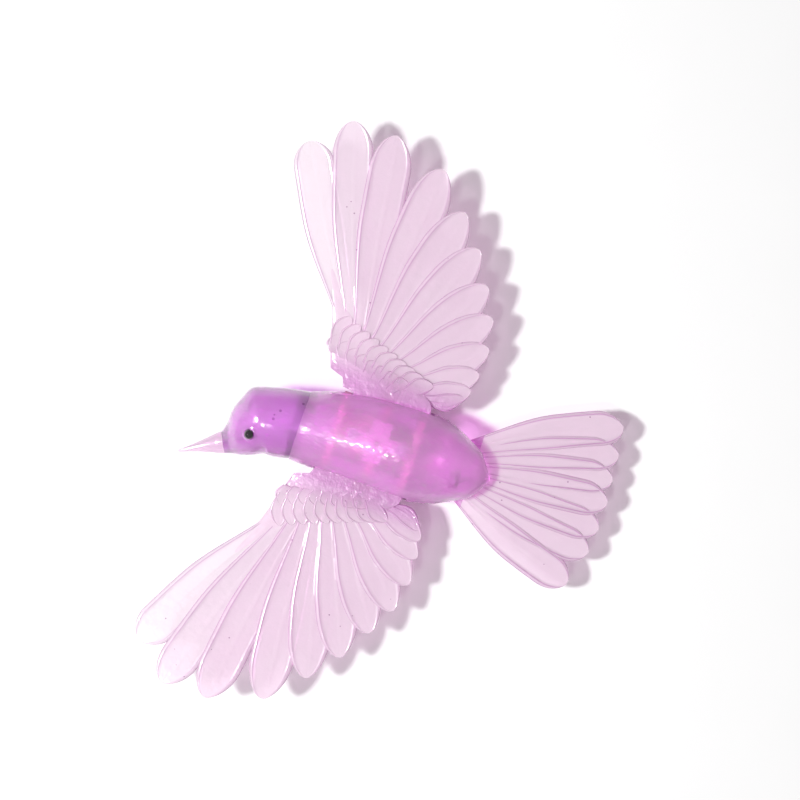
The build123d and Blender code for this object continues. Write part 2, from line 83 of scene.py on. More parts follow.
# Body: (y, middle x, half width, lowest z, highest z) of an upright ellipse.
BODY_STATIONS = np.array([
    (-31, 3.4, 14.5, 4.8, 33.2),
    (-22, 2.0, 16.0, 3.0, 34.4),
    (-10, 0.6, 17.3, 1.8, 35.5),
    (4, 0.0, 18.2, 1.5, 36.0),
    (16, 0.0, 18.4, 2.0, 35.6),
    (26, 0.0, 16.8, 3.8, 33.8),
    (36, 0.0, 12.4, 7.5, 30.0),
    (43, 0.0, 8.2, 11.0, 26.8),
    (46, 0.0, 5.0, 13.5, 24.0),
])
WALL = 2.2
NECK_WALL = 3.0         # how far behind the front the hollow starts
RUMP_END = 47.4         # where the rounded rump closes
RUMP_ROUND = 39.0       # where it starts to close
PLUMAGE_RELIEF = 0.32   # height of the moulded feathers on the shells
GIRTH_R = 17.0          # even radius that turns angle round the body into distance

# Neck: a round plug on the head in a bore in the shells, along the body at the hinges' height.
NECK_X = BODY_STATIONS[0, 1]
NECK_FRONT = -33
NECK_BORE_R = 10.3
NECK_BORE_REAR = -27
SPIGOT_R = 10.2
SPIGOT_REAR = -26.6
FLANGE_R = 11.4
FLANGE_FRONT = -27.9
NECK_HOLLOW_R = 8.2

# Socket pad in the belly: radii and heights of the pad and of the hole through it.
PAD_R, PAD_LOW, PAD_TOP = 9.8, 2.4, 7.0
SOCKET_HOLE_R, SOCKET_HOLE_LOW, SOCKET_HOLE_TOP = 8.5, -2, 8

# Slot for the tail in the belly shell's rim, the tail's tongue, and the screw that holds it, across and along.
TAIL_SLOT = ((-18, 30, 13.3), (18, 50, 15.5))
TAIL_TONGUE = ((-9, 27.2, 13.4), (9, 42, 15.4))
TAIL_SCREW = (4.7, 33)
TAIL_BOSS_R = 2.5
TAIL_BOSS_TOP = 28
BOSS_HOLE_R = 1.02
TONGUE_HOLE_R = 1.1

# Head: its middle, and the directions of its beak, its left side and its crown.
HEAD = np.array((6.8, -47.8, 20.5))
HEAD_R = 13.5
HEAD_TURN = radians(28)
HEAD_ROLL = radians(58)
FORWARD = np.array((sin(HEAD_TURN), -cos(HEAD_TURN), 0))
LEFT = np.array((cos(HEAD_TURN) * cos(HEAD_ROLL), sin(HEAD_TURN) * cos(HEAD_ROLL), sin(HEAD_ROLL)))
CROWN = np.cross(FORWARD, LEFT)
# Nape: (y, x, z, radius, yaw in degrees). Face: (distance ahead of the head's middle, drop below it, radius).
NAPE = [(-31.1, 3.4, 19.0, 14.2, 0.0), (-37.0, 4.5, 19.7, 14.1, 7.0), (-42.6, 5.7, 20.3, 13.8, 16.0)]
FACE = [(0.0, 0.3, 13.4), (5.0, 2.1, 11.8), (9.4, 4.0, 9.4), (12.6, 6.4, 6.3), (15.5, 8.0, 4.4)]
EYE = np.array((0.292, 0.949, 0.123))       # shares of forward, left and crown
EYE_R = 2.0
EYE_SINK = 0.7
BEAK_OUT = 15.3
BEAK_DROP = 8.0
BEAK_LENGTH = 18.5
# Beak: (share of the length, radius).
BEAK_PROFILE = np.array([
    (0, 4.35), (0.12, 3.95), (0.3, 3.05), (0.55, 1.95), (0.8, 1.05), (0.94, 0.6), (1.0, 0.3),
])

# Wing feathers from the front: tip's distance out, tip's place along the body, width.
WING_FEATHERS = [
    (105.3, -64, 16.5), (118.3, -50, 16), (118.3, -32, 17), (111.5, -10, 17.5), (98, 4, 17.5), (86, 14, 17),
    (73, 22, 16.5), (61.5, 28, 16), (49.5, 30.5, 15), (38.5, 30, 13.5), (31, 29, 12), (27.6, 27, 7.5),
]
WRIST = (41, -26)       # root of the outermost feather
ELBOW = (22.5, 12)      # root of the innermost feather
BARREL_R = 3.0
PIN_BORE_R = 1.05
BARREL_FRONT = -15.6
BARREL_REAR = 13.0
ARM_GAP = 1.6           # half the gap in the barrel that holds the lever
ROOT_HALF = 1.6         # half the thickness of the wing's root
BARREL_ROOM = 0.35      # clearance round the barrel in the shells
GROOVE_IN, GROOVE_OUT = 9, 25       # how far out the barrel's groove starts and ends
SWING_ROOM = 0.5        # clearance over the raised wing root
SWING_REACH = 16        # how far out from the hinge that room goes

# Wing limb: (x, front y, rear y, height above the hinge, depth below it).
LIMB = np.array([
    (13.2, -15.6, 13.0, 1.6, 1.6),
    (16.1, -15.6, 13.0, 1.6, 1.6),
    (16.7, -20.2, 16.9, 1.6, 1.6),
    (20.2, -21.4, 16.4, 1.6, 1.6),
    (22.0, -27.2, 15.0, 1.7, 1.6),
    (28.6, -29.5, 5.0, 1.5, 1.6),
    (34.0, -30.8, -9.0, 1.3, 1.5),
    (43.0, -33.6, -24.0, 1.1, 1.2),
    (53.0, -37.6, -32.5, 0.7, 0.8),
    (62.0, -42.4, -39.0, 0.4, 0.4),
    (72.0, -48.0, -46.5, 0.3, 0.3),
])

# Coverts: rows of small feathers over the limb. Each row is its number of feathers, the roots and tips of its
# first and last feathers, width, and heights of the tips and roots above the hinge.
COVERTS = [
    (10, (31, -28), (22.4, 5), (44, -26), (28.5, 14), 7.5, 0.85, 1.4),
    (8, (28, -27.5), (22.4, -1), (36, -28), (25.6, 5), 6.5, 1.3, 1.6),
]

TAIL_PIVOT = (-0.5, 36.0)
# Tail feathers from the bird's right: tip's x and y, and height of the feather above the lowest.
TAIL_FEATHERS = [
    (-37.8, 91.7, 0.0), (-26.6, 93.5, 0.35), (-16.6, 94.3, 0.7), (-7.0, 95.3, 1.05), (4.2, 95.5, 0.7),
    (14.6, 94.6, 0.35), (28.9, 90.6, 0.0),
]
TAIL_WIDTH = 14.5
TAIL_Z = 13.6           # height of the lowest feathers' tips
TAIL_ROOT_Z = 14.4

# Feather numbers, which the feather resin tells apart: the clear first feather, the half clear second, the
# others of the wing, and the tail's.
FIRST, SECOND, PLAIN, TAIL = 20, 10, 1, 30
# How soon each feather starts to close, in widths from its tip. The last value holds for the rest.
TIP_CLOSE = (0.6, 0.8, 0.9, 1.0, 1.1)


# ---- Mesh tools -------------------------------------------------------------------------------------


def through(t, stations):
    """Smooth curve through stations: a cubic between each pair whose slopes are the neighbours' mean slopes."""
    knots, values = stations[:, 0], stations[:, 1:]
    slopes = np.gradient(values, knots, axis=0)
    i = np.clip(np.searchsorted(knots, t) - 1, 0, len(knots) - 2)
    gap = (knots[i + 1] - knots[i])[:, None]
    s = (t[:, None] - knots[i][:, None]) / gap
    return (values[i] * (1 + 2 * s) * (1 - s) ** 2 + values[i + 1] * s * s * (3 - 2 * s)
            + slopes[i] * gap * s * (1 - s) ** 2 - slopes[i + 1] * gap * s * s * (1 - s))


def bump(x, middle, width):
    """Bell curve: e to the minus square of the distance from middle over width."""
    return np.exp(-((x - middle) / width) ** 2)


def ease(x):
    """Smooth step from 0 to 1: three x squared less two x cubed, held flat outside."""
    x = np.clip(x, 0, 1)
    return x * x * (3 - 2 * x)


def wave_noise(points, seed, count=7):
    """Smooth noise from -1 to 1: the mean of sine waves in fixed random directions."""
    waves = np.random.default_rng(seed).normal(size=(count, 4))
    return np.mean([np.sin(points @ w[:3] + 6 * w[3]) for w in waves], axis=0)


def tube_mesh(name, rings, uv=None):
    """Closed mesh of rings of points, each end closed by a fan to the ring's middle."""
    rows, columns, _ = rings.shape
    points = np.vstack([rings.reshape(-1, 3), rings[0].mean(0), rings[-1].mean(0)])
    row, column = np.meshgrid(np.arange(rows - 1), np.arange(columns), indexing="ij")
    here, over = row * columns + column, row * columns + (column + 1) % columns
    quads = np.stack([here, over, over + columns, here + columns], -1).reshape(-1, 4)
    around = np.arange(columns)
    beside = (around + 1) % columns
    last = (rows - 1) * columns
    first_pole, last_pole = rows * columns, rows * columns + 1
    start = np.stack([beside, around, np.full(columns, first_pole)], -1)
    end = np.stack([around + last, beside + last, np.full(columns, last_pole)], -1)
    mesh = bpy.data.meshes.new(name)
    mesh.from_pydata((points * MM).tolist(), [], quads.tolist() + start.tolist() + end.tolist())
    if uv is not None:
        pairs = np.vstack([uv.reshape(-1, 2), uv[0].mean(0), uv[-1].mean(0)])
        corners = np.empty(len(mesh.loops), np.int32)
        mesh.loops.foreach_get("vertex_index", corners)
        layer = mesh.uv_layers.new(name="vane")
        layer.data.foreach_set("uv", pairs[corners].astype(np.float32).ravel())
    return outward(place(name, mesh))


def place(name, mesh):
    """Object of that mesh in the scene."""
    obj = bpy.data.objects.new(name, mesh)
    bpy.context.scene.collection.objects.link(obj)
    return obj


def outward(obj):
    """Merge doubled points and turn every face outwards."""
    work = bmesh.new()
    work.from_mesh(obj.data)
    bmesh.ops.remove_doubles(work, verts=work.verts, dist=1e-6)
    bmesh.ops.dissolve_degenerate(work, edges=work.edges, dist=1e-7)
    bmesh.ops.recalc_face_normals(work, faces=work.faces)
    work.to_mesh(obj.data)
    work.free()
    return obj


def baked(obj):
    """The object's modifiers made part of its mesh."""
    final = bpy.data.meshes.new_from_object(obj.evaluated_get(bpy.context.evaluated_depsgraph_get()))
    obj.modifiers.clear()
    obj.data = final
    final.name = obj.name
    return obj


def combine(obj, others, operation):
    """Unite the others with obj, or cut them from it, and remove them."""
    for other in others:
        step = obj.modifiers.new(operation.lower(), "BOOLEAN")
        step.operation = operation
        step.solver = "MANIFOLD"
        step.object = other
    baked(obj)
    for other in others:
        bpy.data.objects.remove(other)
    return obj


def united(obj, others):
    """One closed solid of obj and the others."""
    return combine(obj, others, "UNION")


def carved(obj, cutters):
    """obj with the cutters taken out."""
    return combine(obj, cutters, "DIFFERENCE")


def smooth(obj, angle=35):
    """Smooth shading with edges kept sharp past an angle in degrees."""
    obj.data.shade_smooth()
    obj.data.set_sharp_from_angle(angle=radians(angle))
    return obj


def mirrored(obj, name):
    """Copy of obj on the other side of the body, turned the right way out."""
    mesh = obj.data.copy()
    mesh.transform(Matrix.Scale(-1, 4, (1, 0, 0)))
    mesh.flip_normals()
    return place(name, mesh)


def round_bar(name, start, end, radius, sides=48):
    """Straight round bar between two points: circles of one radius round the line from start to end."""
    start, end = np.array(start, float), np.array(end, float)
    along = (end - start) / np.linalg.norm(end - start)
    side = np.cross(along, (0.0, 0.0, 1.0) if abs(along[2]) < 0.9 else (1.0, 0.0, 0.0))
    side /= np.linalg.norm(side)
    other = np.cross(along, side)
    turn = np.linspace(0, 2 * pi, sides, endpoint=False)[:, None]
    circle = radius * (np.cos(turn) * side + np.sin(turn) * other)
    return tube_mesh(name, np.stack([start + circle, end + circle]))


def upright_bar(name, at, low, high, radius):
    """Round bar standing at a place between two heights."""
    return round_bar(name, (*at, low), (*at, high), radius)


def neck_bar(name, front, rear, radius):
    """Round bar on the neck's line between two places along the body."""
    return round_bar(name, (NECK_X, front, HINGE_Z), (NECK_X, rear, HINGE_Z), radius)


def block(name, low, high):
    """Plain box between two corners, for cutting."""
    low, high = np.array(low, float), np.array(high, float)
    corners = np.array([(0, 0), (1, 0), (1, 1), (0, 1)])
    ring = low[:2] + corners * (high - low)[:2]
    rings = np.stack([np.column_stack([ring, np.full(4, z)]) for z in (low[2], high[2])])
    return tube_mesh(name, rings)


def finish_piece(obj, body, node, material, angle=35):
    """Shade a piece, give it its material and tell the frame what it rides on and stands for."""
    smooth(obj, angle)
    obj.data.materials.clear()
    obj.data.materials.append(material)
    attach(obj, body)
    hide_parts(node)
    return obj


# ---- Shader tools -----------------------------------------------------------------------------------


class Wire:
    """A shader socket that takes part in Python expressions."""

    def __init__(self, tree, socket):
        self.tree = tree
        self.socket = socket

    def math(self, operation, a, b=0.0):
        node = self.tree.nodes.new("ShaderNodeMath")
        node.operation = operation
        for socket, value in zip(node.inputs, (a, b)):
            feed(self.tree, socket, value)
        return Wire(self.tree, node.outputs[0])

    def __add__(self, other):
        return self.math("ADD", self, other)

    def __sub__(self, other):
        return self.math("SUBTRACT", self, other)

    def __rsub__(self, other):
        return self.math("SUBTRACT", other, self)

    def __mul__(self, other):
        return self.math("MULTIPLY", self, other)

    __radd__ = __add__
    __rmul__ = __mul__

    def above(self, level):
        """1 where the value is over a level, else 0."""
        return self.math("GREATER_THAN", self, level)

    def size(self):
        """The value without its sign."""
        return self.math("ABSOLUTE", self)

    def fraction(self):
        """What is left of the value over the whole number below it."""
        return self.math("FRACT", self)

    def peak(self, middle, width):
        """Bell: one over one plus the square of the distance from middle over width."""
        away = (self - middle) * (1 / width)
        return self.math("DIVIDE", 1.0, away * away + 1.0)


def feed(tree, socket, value):
    """Link a wire to a socket, or set a plain value on it."""
    if isinstance(value, Wire):
        tree.links.new(value.socket, socket)
    else:
        if socket.type == "RGBA":
            value = (*tuple(value)[:3], 1.0)
        socket.default_value = value


def node(tree, kind, settings=None, output=0, **sockets):
    """Add a node: its settings first, then its sockets by name, with _ for a space, and return an output."""
    made = tree.nodes.new(kind)
    for key, value in (settings or {}).items():
        setattr(made, key, value)
    for key, value in sockets.items():
        feed(tree, made.inputs[key.replace("_", " ")], value)
    return Wire(tree, made.outputs[output])


def new_material(name):
    """Empty material and its node tree."""
    material = bpy.data.materials.new(name)
    material.use_nodes = True
    material.node_tree.nodes.clear()
    return material, material.node_tree


def blend_colours(tree, share, low, high):
    """Colour between two colours by a share from 0 to 1."""
    mix = tree.nodes.new("ShaderNodeMix")
    mix.data_type = "RGBA"
    feed(tree, mix.inputs[0], share)
    feed(tree, mix.inputs[6], low)
    feed(tree, mix.inputs[7], high)
    return Wire(tree, mix.outputs[2])


def vane_tint(tree, at, uv, colour):
    """The feathers' edge lines, clear first feather and deep tint at the wing's root over a colour. U runs
    along the feather, and V is the feather's number plus the share across it. Returns the colour and how near
    the root is, from 0 to 1."""
    parts = tree.nodes.new("ShaderNodeSeparateXYZ")
    feed(tree, parts.inputs[0], uv)
    along, number = Wire(tree, parts.outputs[0]), Wire(tree, parts.outputs[1])
    edge = 0.49 - (number.fraction() - 0.5).size()
    # Lines grow stronger towards the tail's tips and weaker towards the wing's.
    strength = number.above(25.0) * (along * 0.7 - 0.15) - along * 0.6 + 1.05
    lines = (edge.peak(0.0, 0.014) + edge.peak(0.09, 0.012) * 0.7) * number.above(0.5)
    clear_first = number.above(5.0) * 0.35 + number.above(15.0) * 0.45 - number.above(25.0) * 0.8
    colour = blend_colours(tree, clear_first, colour, (1.0, 0.97, 0.99))
    colour = blend_colours(tree, lines * strength, colour, (0.58, 0.24, 0.56))
    place_at = tree.nodes.new("ShaderNodeSeparateXYZ")
    feed(tree, place_at.inputs[0], at)
    out = Wire(tree, place_at.outputs[0]).size()
    near = tree.nodes.new("ShaderNodeMapRange")
    near.interpolation_type = "SMOOTHSTEP"
    for socket, value in zip(near.inputs, (out, 0.019, 0.033, 1.0, 0.0)):
        feed(tree, socket, value)
    by_body = Wire(tree, near.outputs[0]) * (1 - Wire(tree, place_at.outputs[1]).above(0.040))
    return blend_colours(tree, by_body * 0.8, colour, (0.76, 0.36, 0.74)), by_body


def noise(tree, at, scale, detail=2.0):
    """Soft noise from 0 to 1 at a place."""
    return node(tree, "ShaderNodeTexNoise", Vector=at, Scale=scale, Detail=detail)


def resin(name, colours, clear_share, depth, density, roughness, lamp_tint, gloss=1.0, swell=0.3, ripple=0.0,
          strokes=0.0, specks=0.0, glow=0.0, vanes=False):
    """Cast see-through resin: part milky, part clear, under a gloss, with a tint that deepens with thickness,
    moulded ripples and strokes and trapped specks. Vanes add the feathers' edge lines, a deep tint at the
    wing's root and a clear first feather. Lamps shine through as through a tinted film."""
    material, tree = new_material(name)
    coordinates = tree.nodes.new("ShaderNodeTexCoord")
    at = Wire(tree, coordinates.outputs["Object"])
    cloud = noise(tree, at, 90.0, 3.0)
    colour = blend_colours(tree, cloud, colours[0], colours[1])
    if vanes:
        colour, by_body = vane_tint(tree, at, Wire(tree, coordinates.outputs["UV"]), colour)
    if specks:
        dots = node(tree, "ShaderNodeTexVoronoi", Vector=at, Scale=150.0)
        colour = blend_colours(tree, (1 - dots.above(specks)) * 0.6, colour, (0.25, 0.09, 0.24))
    height = cloud * swell
    if ripple:
        height = height + noise(tree, at, 330.0) * ripple
    if strokes:
        long = node(tree, "ShaderNodeMapping", Vector=at, Scale=(1100.0, 240.0, 1100.0))
        height = height + noise(tree, long, 1.0) * strokes
    if vanes:
        height = height + noise(tree, at, 420.0) * by_body * 3.0
    relief = node(tree, "ShaderNodeBump", Height=height, Strength=0.6, Distance=0.0004)
    shader = node(
        tree, "ShaderNodeBsdfPrincipled", Base_Color=colour,
        Roughness=noise(tree, at, 260.0) * 0.08 + (roughness - 0.04), IOR=1.46, Transmission_Weight=clear_share,
        Coat_Weight=gloss, Coat_Roughness=0.08, Normal=relief, Subsurface_Weight=glow, Subsurface_Scale=0.002,
        Subsurface_Radius=(1.0, 0.5, 1.0),
    )
    lamp = node(tree, "ShaderNodeLightPath", output=1)
    clear = node(tree, "ShaderNodeBsdfTransparent", Color=lamp_tint)
    mix = tree.nodes.new("ShaderNodeMixShader")
    for socket, value in zip(mix.inputs, (lamp, shader, clear)):
        feed(tree, socket, value)
    inside = node(tree, "ShaderNodeVolumeAbsorption", Color=depth, Density=density)
    out = tree.nodes.new("ShaderNodeOutputMaterial")
    feed(tree, out.inputs["Surface"], Wire(tree, mix.outputs[0]))
    feed(tree, out.inputs["Volume"], inside)
    return material


def solid_finish(name, colour, second, roughness, metallic=0.0, coat=0.0, scale=400.0, grain=(1.0, 1.0, 1.0)):
    """Opaque finish: two close colours in a fine grain that also varies the roughness and the surface."""
    material, tree = new_material(name)
    coordinates = tree.nodes.new("ShaderNodeTexCoord")
    at = node(tree, "ShaderNodeMapping", Vector=Wire(tree, coordinates.outputs["Object"]), Scale=grain)
    fleck = noise(tree, at, scale, 4.0)
    relief = node(tree, "ShaderNodeBump", Height=fleck, Strength=0.25, Distance=0.0001)
    shader = node(
        tree, "ShaderNodeBsdfPrincipled", Base_Color=blend_colours(tree, fleck, colour, second),
        Roughness=fleck * 0.12 + (roughness - 0.06), Metallic=metallic, Coat_Weight=coat, Coat_Roughness=0.03,
        Normal=relief,
    )
    out = tree.nodes.new("ShaderNodeOutputMaterial")
    feed(tree, out.inputs["Surface"], shader)
    return material


# ---- Body -------------------------------------------------------------------------------------------


def body_ellipse(y, inset):
    """Middle x, middle z, half width and half height of the body at y, moved in by inset. Both halves close at
    the rump as the root of 1 less the share of the way to its end to the power 2.6."""
    middle_x, half_width, low, high = through(y, BODY_STATIONS).T
    end = RUMP_END - inset
    close = np.sqrt(np.clip(1 - np.clip((y - RUMP_ROUND) / (end - RUMP_ROUND), 0, 1) ** 2.6, 0, 1))
    return middle_x, (low + high) / 2, (half_width - inset) * close, ((high - low) / 2 - inset) * close


def plumage(y, arc, length=5.2, width=4.6):
    """Overlapping rounded feathers: the highest of the plates round each point, each tilted up to its rear."""
    height = np.zeros_like(y)
    for row in range(-1, 3):
        for half in (0.0, 0.5):
            row_y = (np.floor(y / length) + row + half) * length
            middle = (np.floor(arc / width) + 0.5 + half) * width
            for shift in (-width, 0.0, width):
                back = (y - row_y) / length
                across = (arc - middle - shift) / width
                inside = np.clip(1 - (back - 0.5) ** 2 / 0.55 - across ** 2 / 0.36, 0, None)
                plate = np.where(inside > 0, ease((back + 0.3) / 1.5) * np.clip(inside * 6, 0, 1), 0)
                height = np.maximum(height, plate)
    return height


def body_rings(inset, front, relief, count=150, sides=192):
    """Body surface as rings: upright ellipses from front to the rump, raised by the plumage's relief."""
    end = RUMP_END - inset
    share = np.sin(np.linspace(0, 1, count) * pi / 2)
    y = front + (end - 0.02 - front) * share
    turn = np.linspace(0, 2 * pi, sides, endpoint=False)
    middle_x, middle_z, half_width, half_height = (v[:, None] for v in body_ellipse(y, inset))
    rows = np.repeat(y[:, None], len(turn), 1)
    if relief:
        arc = turn * GIRTH_R
        fade = ease((rows - front) / 6) * ease((end - 4 - rows) / 8) * ease(np.abs(np.sin(turn)) * 6)
        grow = relief * plumage(rows + 2.0, np.repeat(arc[None], len(y), 0)) * fade
        at = np.stack([rows * 0.22, arc[None] * 0.2 + rows * 0, rows * 0], -1)
        grow = grow + 0.25 * wave_noise(at, 4) * fade
    else:
        grow = 0.0
    x = middle_x + (half_width + grow) * np.cos(turn)
    z = middle_z + (half_height + grow) * np.sin(turn)
    return np.stack([x, rows, z], -1)


def notch_cutters(upper):
    """Grooves round the hinge barrels on both sides, and above them the room that the wing roots rise into."""
    low, high = node_box("hinge_clips")
    front, rear = low[1] - 2.0, high[1] + 1.7
    groove = BARREL_R + BARREL_ROOM
    cutters = []
    for inner, outer in ((GROOVE_IN, GROOVE_OUT), (-GROOVE_OUT, -GROOVE_IN)):
        cutters.append(block("groove", (inner, front, HINGE_Z - groove), (outer, rear, HINGE_Z + groove)))
    if upper:
        lift = ROOT_HALF + SWING_ROOM
        corner = np.array((HINGE_X - lift * sin(FLAP), HINGE_Z + lift * cos(FLAP)))
        tip = corner + SWING_REACH * np.array((cos(FLAP), sin(FLAP)))
        outline = np.array([(HINGE_X, HINGE_Z), (HINGE_X + SWING_REACH, HINGE_Z), tip, corner])
        for side in (-1, 1):
            x, z = side * outline[:, 0], outline[:, 1]
            rings = np.stack([np.column_stack([x, np.full(4, y), z]) for y in (front, rear)])
            cutters.append(tube_mesh("swing", rings))
    return cutters


def body_half(name, upper):
    """Outer surface of the body, and the cutters that leave one half of the hollow shell: the inner surface,
    all past the parting plane, the neck's bore and the room for the hinges."""
    front = BODY_STATIONS[0, 0]
    shell = tube_mesh(name, body_rings(0, front, PLUMAGE_RELIEF))
    inner = tube_mesh("inner", body_rings(WALL, front + NECK_WALL, 0))
    away = block("away", (-30, -40, -10 if upper else HINGE_Z), (30, 60, HINGE_Z if upper else 60))
    bore = neck_bar("bore", NECK_FRONT, NECK_BORE_REAR, NECK_BORE_R)
    return shell, [inner, away, bore] + notch_cutters(upper)


class DECOY_OT_back_shell(Operator):
    """Build the upper half of the hollow body, with its boss for the tail's screw"""
    bl_idname = "decoy.back_shell"
    bl_label = "Back shell"

    def execute(self, context):
        shell, cutters = body_half("back_shell_resin", True)
        carved(shell, cutters)
        united(shell, [upright_bar("boss", TAIL_SCREW, HINGE_Z, TAIL_BOSS_TOP, TAIL_BOSS_R)])
        screw_top = node_box("tail_screw")[1][2]
        carved(shell, [upright_bar("hole", TAIL_SCREW, HINGE_Z - 1, screw_top + 0.5, BOSS_HOLE_R)])
        finish_piece(shell, "body", "back_shell", context.scene["decoy_shell"])
        return {"FINISHED"}


class DECOY_OT_belly_shell(Operator):
    """Build the lower half of the hollow body, with its socket pad and the tail's slot"""
    bl_idname = "decoy.belly_shell"
    bl_label = "Belly shell"

    def execute(self, context):
        shell, cutters = body_half("belly_shell_resin", False)
        carved(shell, cutters)
        united(shell, [upright_bar("pad", (0, 0), PAD_LOW, PAD_TOP, PAD_R)])
        hole = upright_bar("hole", (0, 0), SOCKET_HOLE_LOW, SOCKET_HOLE_TOP, SOCKET_HOLE_R)
        carved(shell, [hole, block("slot", *TAIL_SLOT)])
        finish_piece(shell, "body", "belly_shell", context.scene["decoy_shell"])
        return {"FINISHED"}


# ---- Head -------------------------------------------------------------------------------------------


def head_rings(inset, rows=110, sides=160):
    """Head surface as rings round a line that bends from the neck to the beak: upright circles of the stations'
    radius less inset, each turned by the stations' yaw."""
    stations = list(NAPE)
    for ahead, drop, radius in FACE:
        place_at = HEAD + ahead * FORWARD - drop * CROWN
        stations.append((place_at[1], place_at[0], place_at[2], radius, 28.0))
    stations = np.array(stations)
    order = np.column_stack([np.arange(len(stations)), stations])
    first, short = (0.5, 1.1) if inset else (0, 0)
    t = np.linspace(first, len(stations) - 1 - short, rows)
    y, x, z, radius, yaw = through(t, order).T[:, :, None]
    yaw = np.radians(yaw)
    turn = np.linspace(0, 2 * pi, sides, endpoint=False)[None]
    radius = radius - inset
    return np.stack([x + radius * np.cos(turn) * np.cos(yaw), y + radius * np.cos(turn) * np.sin(yaw),
                     z + radius * np.sin(turn)], -1)


def eye_middle(side):
    """Middle of an eye bead: out from the head's middle along the eye's direction."""
    way = EYE[0] * FORWARD + side * EYE[1] * LEFT + EYE[2] * CROWN
    return HEAD + (HEAD_R - EYE_SINK) * way, way


def ball(name, middle, radius, rows=24, sides=48):
    """Ball: circles of radius times the sine of the angle from the pole."""
    down = np.linspace(0, pi, rows + 2)[1:-1, None]
    turn = np.linspace(0, 2 * pi, sides, endpoint=False)[None]
    points = np.stack([np.sin(down) * np.cos(turn), np.sin(down) * np.sin(turn), np.cos(down) + 0 * turn], -1)
    return tube_mesh(name, np.array(middle) + radius * points)


class DECOY_OT_head(Operator):
    """Build the hollow head with its neck spigot and eye sockets"""
    bl_idname = "decoy.head"
    bl_label = "Head"

    def execute(self, context):
        rings = head_rings(0)
        for side in (-1, 1):
            middle, way = eye_middle(side)
            away = np.linalg.norm(rings - middle, axis=-1)
            rim = 0.45 * bump(away, 2.5, 0.5) - 0.5 * bump(away, 1.0, 1.0)
            rings = rings + rim[..., None] * way
        head = tube_mesh("head_resin", rings)
        inner = tube_mesh("inner", head_rings(WALL))
        united(head, [neck_bar("spigot", NECK_FRONT, SPIGOT_REAR, SPIGOT_R),
                      neck_bar("flange", FLANGE_FRONT, SPIGOT_REAR, FLANGE_R)])
        cutters = [inner, neck_bar("bore", -40, -26, NECK_HOLLOW_R)]
        cutters += [ball("pocket", eye_middle(side)[0], EYE_R) for side in (-1, 1)]
        carved(head, cutters)
        finish_piece(head, "body", "head", context.scene["decoy_head"])
        return {"FINISHED"}


class DECOY_OT_eyes(Operator):
    """Build the two glossy eye beads"""
    bl_idname = "decoy.eyes"
    bl_label = "Eyes"

    def execute(self, context):
        for name, side in (("left_eye", 1), ("right_eye", -1)):
            bead = ball(f"{name}_bead", eye_middle(side)[0], EYE_R)
            finish_piece(bead, "body", name, context.scene["decoy_eye"])
        return {"FINISHED"}


class DECOY_OT_beak(Operator):
    """Build the beak with the line where it closes"""
    bl_idname = "decoy.beak"
    bl_label = "Beak"

    def execute(self, context):
        ahead = np.linspace(0, 1, 60)[:, None]
        radius = through(ahead[:, 0], BEAK_PROFILE)
        turn = np.linspace(0, 2 * pi, 96, endpoint=False)[None]
        gape = bump(np.abs(np.cos(turn)), 1.0, 0.035) * (1 - ahead ** 3)
        radius = radius * (1 - 0.13 * gape)
        tall = 1.06 + 0.04 * np.sin(turn)
        middle = HEAD + (BEAK_OUT + BEAK_LENGTH * ahead[..., None]) * FORWARD - BEAK_DROP * CROWN
        hook = -0.5 * ahead[..., None] ** 2 * CROWN
        across = (radius * np.cos(turn))[..., None] * LEFT + (radius * tall * np.sin(turn))[..., None] * CROWN
        beak = tube_mesh("beak_resin", middle + hook + across)
        finish_piece(beak, "body", "beak", context.scene["decoy_beak"])
        return {"FINISHED"}


# ---- Feathers ---------------------------------------------------------------------------------------


def feather(name, root, tip, width, height, root_height=None, thick=1.0, bend=0.0, tilt=0.0, narrow=0.45,
            rim=0.3, shaft=0.3, point=1.3, lift=None, number=PLAIN):
    """Closed feather blade. Its half width grows from the root and closes in a half ellipse at the tip. Its
    thickness is even but for a bead along the rim and a ridge along the shaft. Its middle line bows sideways."""
    root, tip = np.array(root, float), np.array(tip, float)
    length = np.linalg.norm(tip - root)
    count = 33
    along = 1 - (1 - np.linspace(0, 1, 72)) ** 1.7
    along = along[:-1, None]
    full = 1 - point * width / length
    q = np.linspace(-1, 1, count)
    across = np.concatenate([np.sin(q * pi / 2), -np.sin(q * pi / 2)[1:-1]])[None]
    end = np.clip(1 - np.clip((along - full) / (1 - full), 0, 1) ** 2, 0, 1)
    close = end ** np.where(across < 0, 0.5, 0.68)
    half = width / 2 * (narrow + (1 - narrow) * ease(along / 0.6)) * close
    face = np.concatenate([np.ones(count), -np.ones(count - 2)])[None]
    edge = np.abs(across)
    plate = np.sqrt(np.clip(1 - edge ** 8, 0, 1))
    bead = rim * bump(edge, 0.86, 0.10) * (0.4 + 0.6 * ease((along - 0.2) / 0.6))
    ridge = shaft * bump(across, 0.12, 0.07) * (1 - 0.8 * along)
    depth = thick / 2 * (plate * (1 + 2 * bead) + 2 * ridge) * np.clip(close, 0.25, 1)
    way = (tip - root) / length
    side = np.array((-way[1], way[0]))
    bow = bend * np.sin(pi * along)
    x = root[0] + (tip - root)[0] * along + side[0] * (half * across + bow)
    y = root[1] + (tip - root)[1] * along + side[1] * (half * across + bow)
    start = height if root_height is None else root_height
    middle = start + (height - start) * ease(along * 1.4)
    z = middle + tilt * across * close + face * depth
    if lift is not None:
        z = z + lift(x, y)
    v = across * 0.49 + 0.5 + number
    uv = np.stack([np.repeat(along, across.shape[1], 1), np.repeat(v, len(along), 0)], -1)
    return tube_mesh(name, np.stack([x, y, z], -1), uv)


